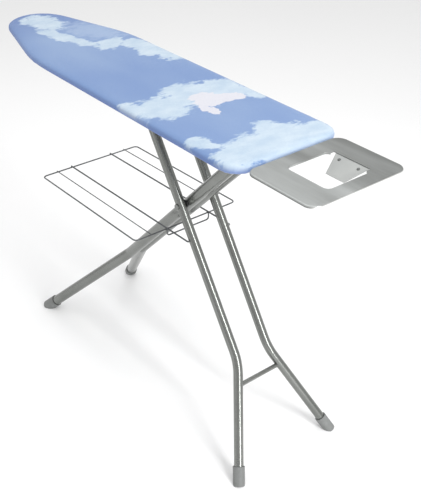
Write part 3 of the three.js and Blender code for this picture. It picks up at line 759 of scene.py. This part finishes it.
# ---------------------------------------------------------------- iron rest
def make_iron_rest(brushed, tab, rivet, zinc):
    low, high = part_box("iron_plate")
    bm = node_shape("iron_plate")

    def past_corner(spot):
        reach = PLATE_CORNER - CORNER_BAND
        out_y = max(0, abs(spot.y) - (high.y - PLATE_CORNER))
        free_end = math.hypot(max(0, spot.x - (high.x - PLATE_CORNER)), out_y)
        board_end = math.hypot(max(0, low.x + PLATE_CORNER - spot.x), out_y)
        return max(free_end, board_end) > reach

    def on_rim(spot):
        on_end = spot.x > high.x - RIM_BAND or spot.x < low.x + RIM_BAND
        return on_end or abs(spot.y) > high.y - RIM_BAND or past_corner(spot)

    def on_top(spot):
        return spot.z > high.z - TOP_BAND

    eased(bm, PLATE_ROLL, lambda spot: on_top(spot) and on_rim(spot), segments=5)
    eased(bm, LOWER_EDGE_ROUND, lambda spot: spot.z < high.z - SHEET_BAND, segments=2)
    eased(bm, LIP_ROUND, lambda spot: on_top(spot) and not on_rim(spot), segments=3)
    finished(piece_from("iron_plate_part", bm), brushed, "board", "rest_plate", "iron_plate", even=True)
    fitting("iron_tab", tab, "board", "zinc_steel", 0.0005)
    for node in ("tab_rivet_1", "tab_rivet_2"):
        fitting(node, rivet, "board", "zinc_steel", 0.0003)
    for node in ("rest_clip_near", "rest_clip_far"):
        fitting(node, zinc, "board", "zinc_steel", 0.0003)
    for node in ("rest_rod_near", "rest_rod_far"):
        fitting(node, zinc, "board", "zinc_steel", 0)


# ---------------------------------------------------------------- legs
def leg_point(joint, along, angle, side_y, towards):
    """A point a given way down a leg from a joint, in side view at the leg's angle."""
    return Vector(
        (joint.x + towards * along * math.cos(angle), side_y, joint.z - along * math.sin(angle))
    )


def make_tube(name, corners, radius, bend_radius, finish, body, node):
    bm = bent_bar(corners, radius, bend_radius, sides=32, steps=14)
    cut = bmesh.ops.bisect_plane(
        bm,
        geom=bm.verts[:] + bm.edges[:] + bm.faces[:],
        plane_co=(0, 0, SOLE),
        plane_no=(0, 0, -1),
        clear_outer=True,
    )["geom_cut"]
    rim = [item for item in cut if isinstance(item, bmesh.types.BMEdge)]
    bmesh.ops.holes_fill(bm, edges=rim, sides=0)
    return finished(piece_from(name, bm), finish, body, "silver_tube", node)


def make_legs(lacquer, plastic, dark, zinc):
    hinge = JOINTS["fold"]
    crossing = JOINTS["leg_crossing"]
    top_reach = (hinge.z - crossing.z) / math.sin(LEG_A_ANGLE)
    for side, tag in ((-1, "near"), (1, "far")):
        y = side * LEG_B_HALF_GAP
        head = leg_point(hinge, -LEG_B_HEAD, LEG_B_ANGLE, y, -1)
        bend = leg_point(hinge, LEG_B_BEND, LEG_B_ANGLE, y, -1)
        foot = Vector((hinge.x - hinge.z / math.tan(LEG_B_ANGLE), side * FOOT_HALF_TRACK, 0))
        end = foot - (foot - bend).normalized() * TUBE_SHORT
        tube = f"leg_b_{tag}_tube"
        shape = ([head, bend, end], LEG_B_RADIUS, LEG_B_BEND_RADIUS)
        make_tube(f"leg_b_{tag}_pipe", *shape, lacquer, "leg_b", tube)
        y = side * LEG_A_HALF_GAP
        head = leg_point(crossing, -top_reach - LEG_A_HEAD, LEG_A_ANGLE, y, 1)
        bend = leg_point(crossing, LEG_A_BEND, LEG_A_ANGLE, y, 1)
        foot = Vector((bend.x + bend.z / math.tan(LEG_A_FOOT_ANGLE), side * FOOT_HALF_TRACK, 0))
        end = foot - (foot - bend).normalized() * TUBE_SHORT
        tube = f"leg_a_{tag}_tube"
        shape = ([head, bend, end], LEG_A_RADIUS, LEG_A_BEND_RADIUS)
        make_tube(f"leg_a_{tag}_pipe", *shape, lacquer, "leg_a", tube)
        for leg in ("a", "b"):
            fitting(f"leg_{leg}_{tag}_foot", plastic, f"leg_{leg}", "grey_plastic", 0.0012, 3)
            fitting(f"leg_{leg}_{tag}_plug", plastic, f"leg_{leg}", "grey_plastic", 0.0004)
        fitting(f"crossing_washer_{tag}", dark, "leg_b", "dark_plastic", 0.0003)
        fitting(f"glide_{tag}", dark, "leg_a", "dark_plastic", 0.0006)
    fitting("leg_a_crossbar", lacquer, "leg_a", "silver_tube", 0)
    fitting("top_bar", zinc, "leg_a", "zinc_steel", 0.0005)
    fitting("crossing_pin", lacquer, "leg_b", "zinc_steel", 0.001, 3)
    fitting("crossing_spacer", dark, "leg_b", "dark_plastic", 0.0004)
    fitting("hinge_spacer", dark, "leg_b", "dark_plastic", 0.0004)


def make_underside(zinc, deck_finish, dark):
    fitting("deck", deck_finish, "board", "zinc_steel", 0.0004)
    for tag in ("near", "far"):
        fitting(f"guide_rail_{tag}", zinc, "board", "zinc_steel", 0.0004)
        fitting(f"hinge_bracket_{tag}", zinc, "board", "zinc_steel", 0.0005)
        fitting(f"lever_hanger_{tag}", zinc, "board", "zinc_steel", 0.0004)
    fitting("fold_hinge_pin", zinc, "board", "zinc_steel", 0.001, 3)
    fitting("lever_rod", zinc, "release_lever", "zinc_steel", 0)
    fitting("lever_grip", dark, "release_lever", "dark_plastic", 0.0008, 3)


# ---------------------------------------------------------------- rack
def make_wire(name, corners, radius, bend, sides, steps, finish, node, closed=False):
    bm = bent_bar(corners, radius, bend, sides, steps, closed=closed)
    return finished(piece_from(name, bm), finish, "rack", "rack_wire", node)


def make_rack(wire):
    """Ring, two arms pinned to leg A, two bars across the ring and the low stop wire."""
    pin = JOINTS["rack_pivot"]
    ahead = Vector((-math.cos(RACK_SLOPE), 0, -math.sin(RACK_SLOPE)))
    down = Vector((math.sin(RACK_SLOPE), 0, -math.cos(RACK_SLOPE)))

    def spot(along, y, drop):
        return pin + ahead * along + down * drop + Vector((0, y, 0))

    tail = RACK_TAIL
    nose = RACK_TAIL + RACK_LENGTH
    wide = RACK_HALF_WIDTH
    ring_drop = HEAVY_WIRE + FRAME_WIRE + WIRE_GAP
    bar_drop = ring_drop - FRAME_WIRE - THIN_WIRE - WIRE_GAP
    ring = [
        spot(tail, 0, ring_drop),
        spot(tail, wide, ring_drop),
        spot(nose, wide, ring_drop),
        spot(nose, -wide, ring_drop),
        spot(tail, -wide, ring_drop),
        spot(tail, 0, ring_drop),
    ]
    make_wire("rack_frame_wire", ring, FRAME_WIRE, 0.012, 16, 8, wire, "rack_frame", closed=True)
    arm_y = LEG_A_HALF_GAP + LEG_A_RADIUS + HEAVY_WIRE + ARM_CLEAR
    for side, tag in ((-1, "near"), (1, "far")):
        arm = [
            spot(nose, side * arm_y, 0),
            spot(0, side * arm_y, 0),
            spot(0, side * (LEG_A_HALF_GAP - 0.002), 0),
        ]
        make_wire(f"rack_arm_{tag}_wire", arm, HEAVY_WIRE, 0.0026, 16, 6, wire, f"rack_arm_{tag}")
        bar_y = side * (arm_y + RACK_PITCH)
        bar = [spot(tail, bar_y, bar_drop), spot(nose, bar_y, bar_drop)]
        make_wire(f"rack_bar_{tag}_wire", bar, THIN_WIRE, 0.01, 12, 10, wire, f"rack_bar_{tag}")
    at = tail - 2 * FRAME_WIRE - 0.001
    stop = [
        spot(at, -arm_y, HEAVY_WIRE + WIRE_GAP),
        spot(at, -arm_y, STOP_DEPTH),
        spot(at, arm_y, STOP_DEPTH),
        spot(at, arm_y, HEAVY_WIRE + WIRE_GAP),
    ]
    make_wire("rack_stop_bent", stop, FRAME_WIRE, 0.008, 16, 8, wire, "rack_stop_wire")


# ---------------------------------------------------------------- build
set_camera()
set_studio()
lay_floor()

cloth = cloth_finish()
felt = felt_finish()
silver = metal_finish("silver_lacquer", (122, 124, 121), (136, 138, 135), 0.88, 0.24)
plate_silver = brushed_finish("brushed_rest")
rivet_grey = metal_finish("rivet_head", (96, 98, 97), (112, 114, 113), 0.6, 0.4)
tab_silver = metal_finish("tab_plate", (146, 148, 147), (164, 166, 164), 0.6, 0.4)
zinc = metal_finish("zinc_plate", (168, 170, 170), (192, 194, 194), 0.8, 0.36, (40, 200, 40), 0.3)
deck_grey = metal_finish("deck_lacquer", (150, 152, 152), (164, 166, 166), 0.4, 0.5)
wire = metal_finish("rack_plate", (92, 94, 96), (112, 114, 116), 0.8, 0.4)
plastic = plastic_finish("grey_cap_plastic", (112, 114, 113), (128, 130, 129), 0.55)
dark = plastic_finish("dark_plastic", (36, 37, 39), (52, 53, 55), 0.5)

make_underside(zinc, deck_grey, dark)
dress_board(cloth)
lay_pad(felt)
make_iron_rest(plate_silver, tab_silver, rivet_grey, zinc)
make_legs(silver, plastic, dark, zinc)
make_rack(wire)
